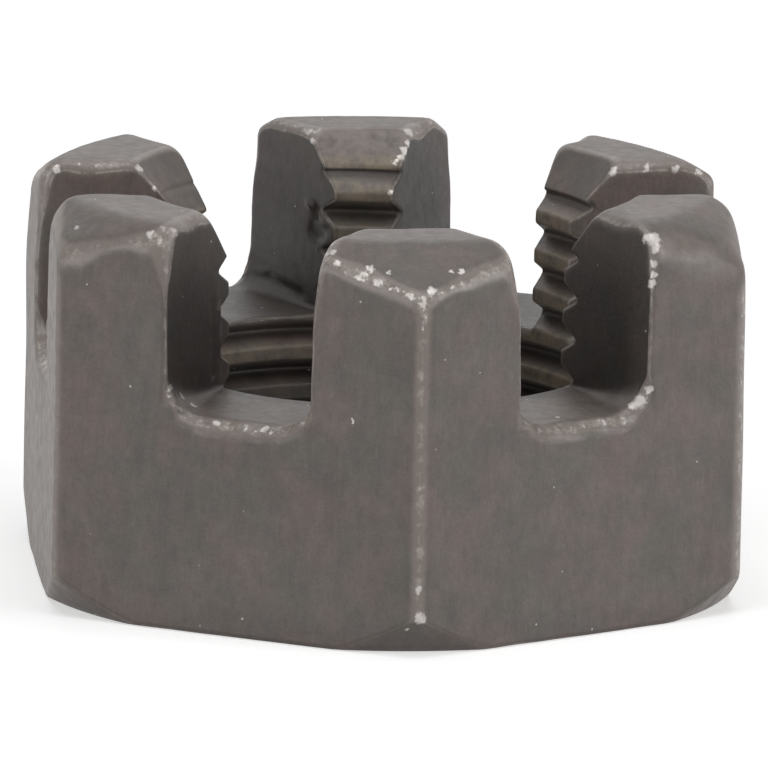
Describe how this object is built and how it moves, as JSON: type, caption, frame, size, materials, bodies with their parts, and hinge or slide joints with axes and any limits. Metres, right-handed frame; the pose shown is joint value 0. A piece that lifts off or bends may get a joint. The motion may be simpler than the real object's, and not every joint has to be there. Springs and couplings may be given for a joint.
{
  "type": "castle nut",
  "caption": "Hexagon castle nut with a slotted crown: it threads onto an axle or stud, and a split pin through its slots locks it.",
  "frame": {"origin": "centre of the bearing face", "axes": "+Z along the thread's axis from the bearing face to the crown, +X through the middle of one flat and its slot, +Y through a corner of the hexagon"},
  "size_m": [0.0238, 0.0274, 0.014],
  "materials": {
    "dark_steel": "dark phosphated and oiled steel, satin, worn bright on the edges"
  },
  "bodies": {
    "root": {"castle_nut": "dark_steel"}
  },
  "joints": []
}
